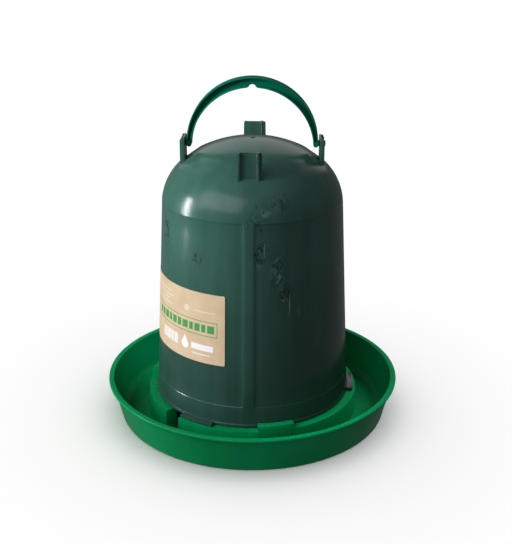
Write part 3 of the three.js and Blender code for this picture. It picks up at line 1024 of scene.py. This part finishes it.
def studio(floor, tank_piece, tray_piece, handle_piece, label_piece):
    """A tall window and a softbox on the left, a wall behind, and fills that aren't mirrored in gloss."""
    world = bpy.data.worlds.new("studio")
    world.use_nodes = True
    tree = world.node_tree
    background = tree.nodes["Background"]
    background.inputs["Color"].default_value = (1, 1, 1, 1)
    seen = add(tree, "ShaderNodeLightPath").outputs["Is Camera Ray"]
    tree.links.new(spread(tree, seen, 0, 1, 0.12, 0.93), background.inputs["Strength"])
    bpy.context.scene.world = world
    product = (tank_piece, tray_piece, handle_piece, label_piece)
    # name, azimuth, elevation, distance, width, height, radiance, mirrored, lit objects
    lamps = [
        ("window", -85, 4, 1.6, 0.045, 0.85, 150, True, product),
        ("softbox", -42, 32, 2.4, 2.4, 1.3, 1.9, True, (tank_piece, tray_piece, label_piece)),
        ("handle_fill", -30, 50, 1.5, 0.6, 0.6, 4, False, (handle_piece,)),
        ("back_wall", 180, 33, 4.0, 5.0, 2.8, 0.68, True, (tank_piece, label_piece)),
        ("left_fill", -64, 26, 0.75, 0.3, 0.3, 27, False, (tank_piece, handle_piece)),
        ("tray_left", -66, 38, 1.2, 0.7, 0.7, 7, False, (tray_piece,)),
        ("tray_right", 128, 38, 1.2, 0.7, 0.7, 8, False, (tray_piece,)),
        ("label_fill", -30, 10, 2.0, 1.0, 1.0, 6, False, (label_piece,)),
        ("front_fill", 30, 35, 2.5, 2.0, 2.0, 0.2, False, product),
        ("tray_front", -12, 13, 1.6, 1.0, 0.5, 3.2, False, (tray_piece,)),
        ("top_fill", 50, 62, 2.0, 1.2, 1.2, 1.5, False, (tank_piece,)),
        ("overhead", 0, 90, 9.0, 40.0, 40.0, 1.2, True, (floor,)),
    ]
    for *settings, mirrored, lit in lamps:
        lamp = area_light(*settings)
        lamp.visible_glossy = mirrored
        lit_only(lamp, lit)
    bpy.context.scene.view_settings.view_transform = "Standard"


CAMERA_AZIMUTH = 2.1                    # degrees
CAMERA_DISTANCE = 0.926
CAMERA_HEIGHT = 0.4975
CAMERA_PITCH = 20.69                    # degrees below level
CAMERA_LENS = 64.38                     # millimetres
CAMERA_SENSOR_WIDTH = 36                # millimetres
CAMERA_SHIFT = 0.0066                   # share of the image's width


def camera():
    data = bpy.data.cameras.new("camera")
    data.lens = CAMERA_LENS
    data.sensor_width = CAMERA_SENSOR_WIDTH
    data.shift_x = CAMERA_SHIFT
    view = bpy.data.objects.new("camera", data)
    view.location = direction(CAMERA_AZIMUTH) * CAMERA_DISTANCE + Vector((0, 0, CAMERA_HEIGHT))
    view.rotation_euler = (math.radians(90 - CAMERA_PITCH), 0, math.radians(CAMERA_AZIMUTH))
    bpy.context.scene.collection.objects.link(view)
    bpy.context.scene.camera = view


# ------------------------------------------------------------------ assembly

def finish_piece(obj, name, body, node, material):
    obj.name = name
    obj.data.name = name
    obj.data.materials.clear()
    obj.data.materials.append(material)
    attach(obj, body)
    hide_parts(node)


tank_piece, tray_piece, handle_piece = tank(), tray(), handle()
label_piece, label_width, label_height = label()
tray_plastic = green_material("tray_plastic", colour(1, 118, 66), colour(4, 129, 78), 0.24, 0.36)
handle_plastic = green_material("handle_plastic", colour(2, 96, 73), colour(4, 108, 85), 0.26, 0.38)
kraft_paper = label_material(label_width, label_height)
finish_piece(tank_piece, "tank_moulding", "tank", "tank", tank_material())
finish_piece(tray_piece, "tray_moulding", "tray", "tray", tray_plastic)
finish_piece(handle_piece, "handle_moulding", "handle", "handle", handle_plastic)
finish_piece(label_piece, "paper_label", "tank", "label", kraft_paper)

camera()
studio(pale_floor(), tank_piece, tray_piece, handle_piece, label_piece)
